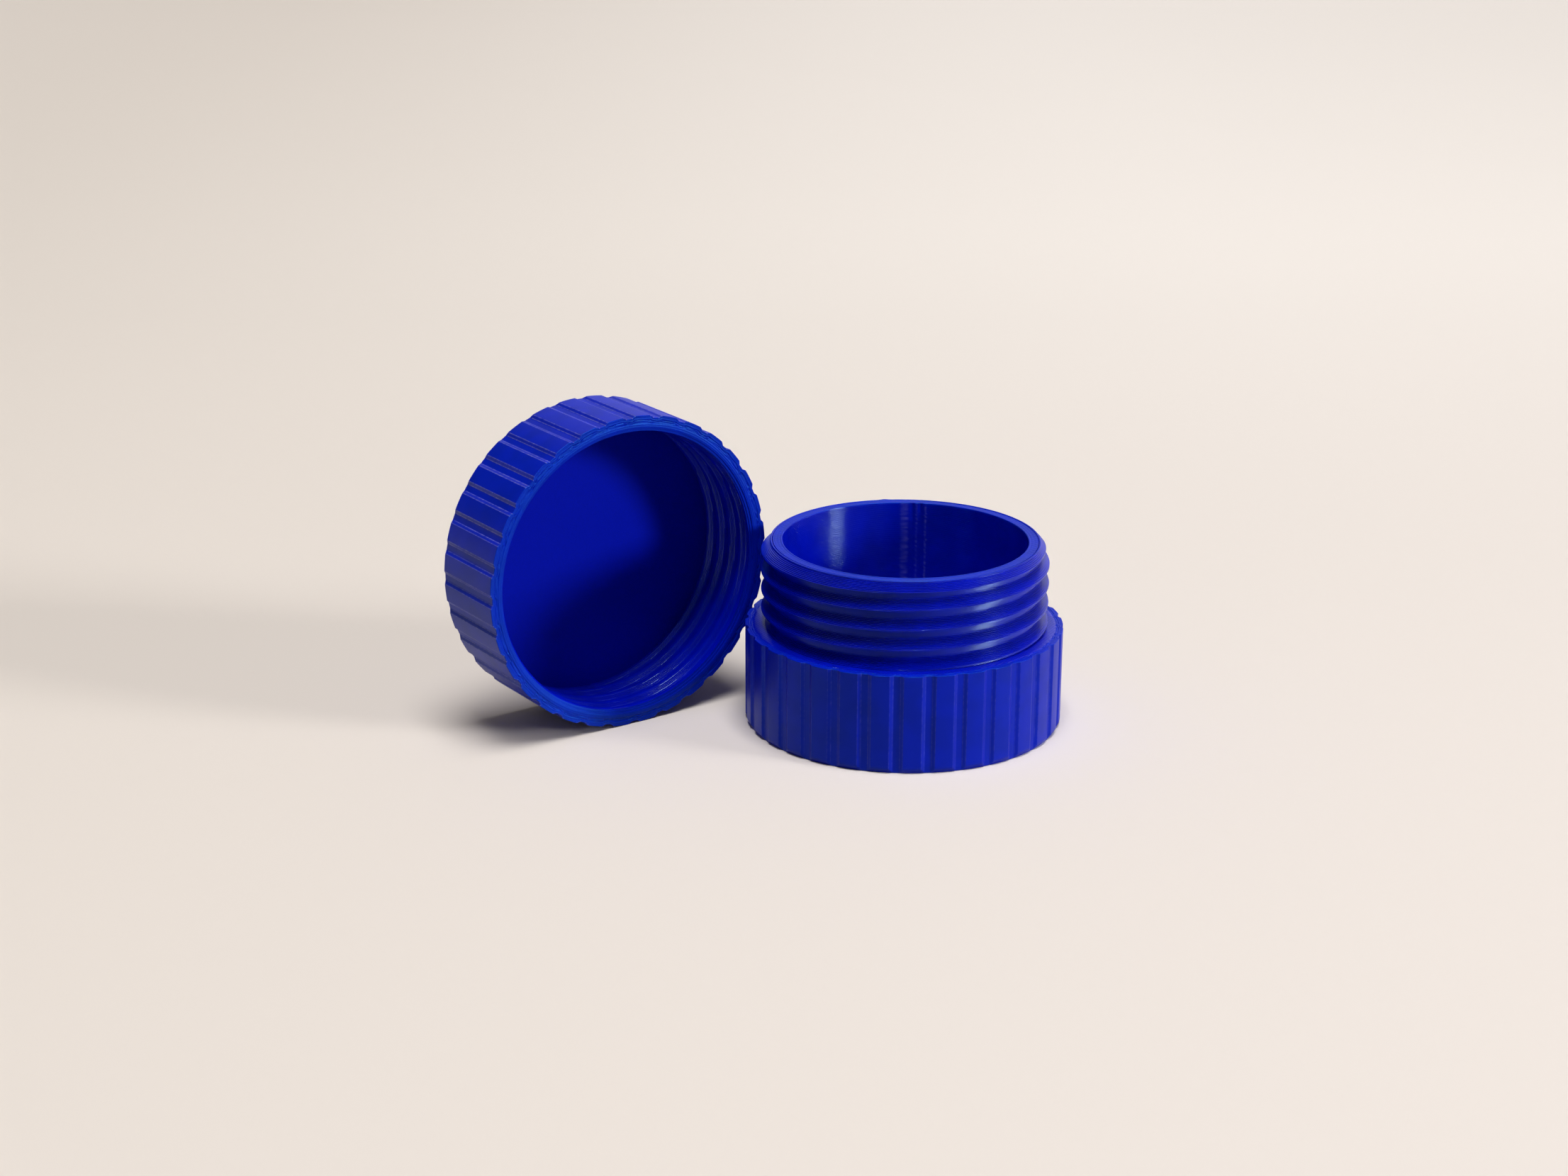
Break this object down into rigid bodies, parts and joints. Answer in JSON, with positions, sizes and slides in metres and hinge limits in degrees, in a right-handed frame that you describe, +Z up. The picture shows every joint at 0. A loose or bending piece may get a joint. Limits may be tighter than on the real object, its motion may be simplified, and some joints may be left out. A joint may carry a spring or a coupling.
{
  "type": "coin tube",
  "caption": "Short round screw-top tube for a stack of coins: a ribbed base with a threaded neck, and its ribbed screw cap, taken off and standing on its side.",
  "frame": {"origin": "centre of the tube's foot, on the surface that the tube and its cap stand on", "axes": "+Z up along the tube's axis and out of its bore; -Y towards the viewer of the picture; the cap lies towards -X with its mouth looking to +X and -Y"},
  "size_m": [0.1037, 0.0538, 0.0539],
  "materials": {
    "tube": "satin, as printed",
    "cap": "satin, as printed"
  },
  "bodies": {
    "tube": {"tube": "tube"},
    "cap": {"cap": "cap"}
  },
  "joints": [
    {"name": "cap_lift", "type": "slide", "parent": "tube", "child": "cap", "axis": [0, 0, 1], "range_m": [0, 0.035]}
  ]
}
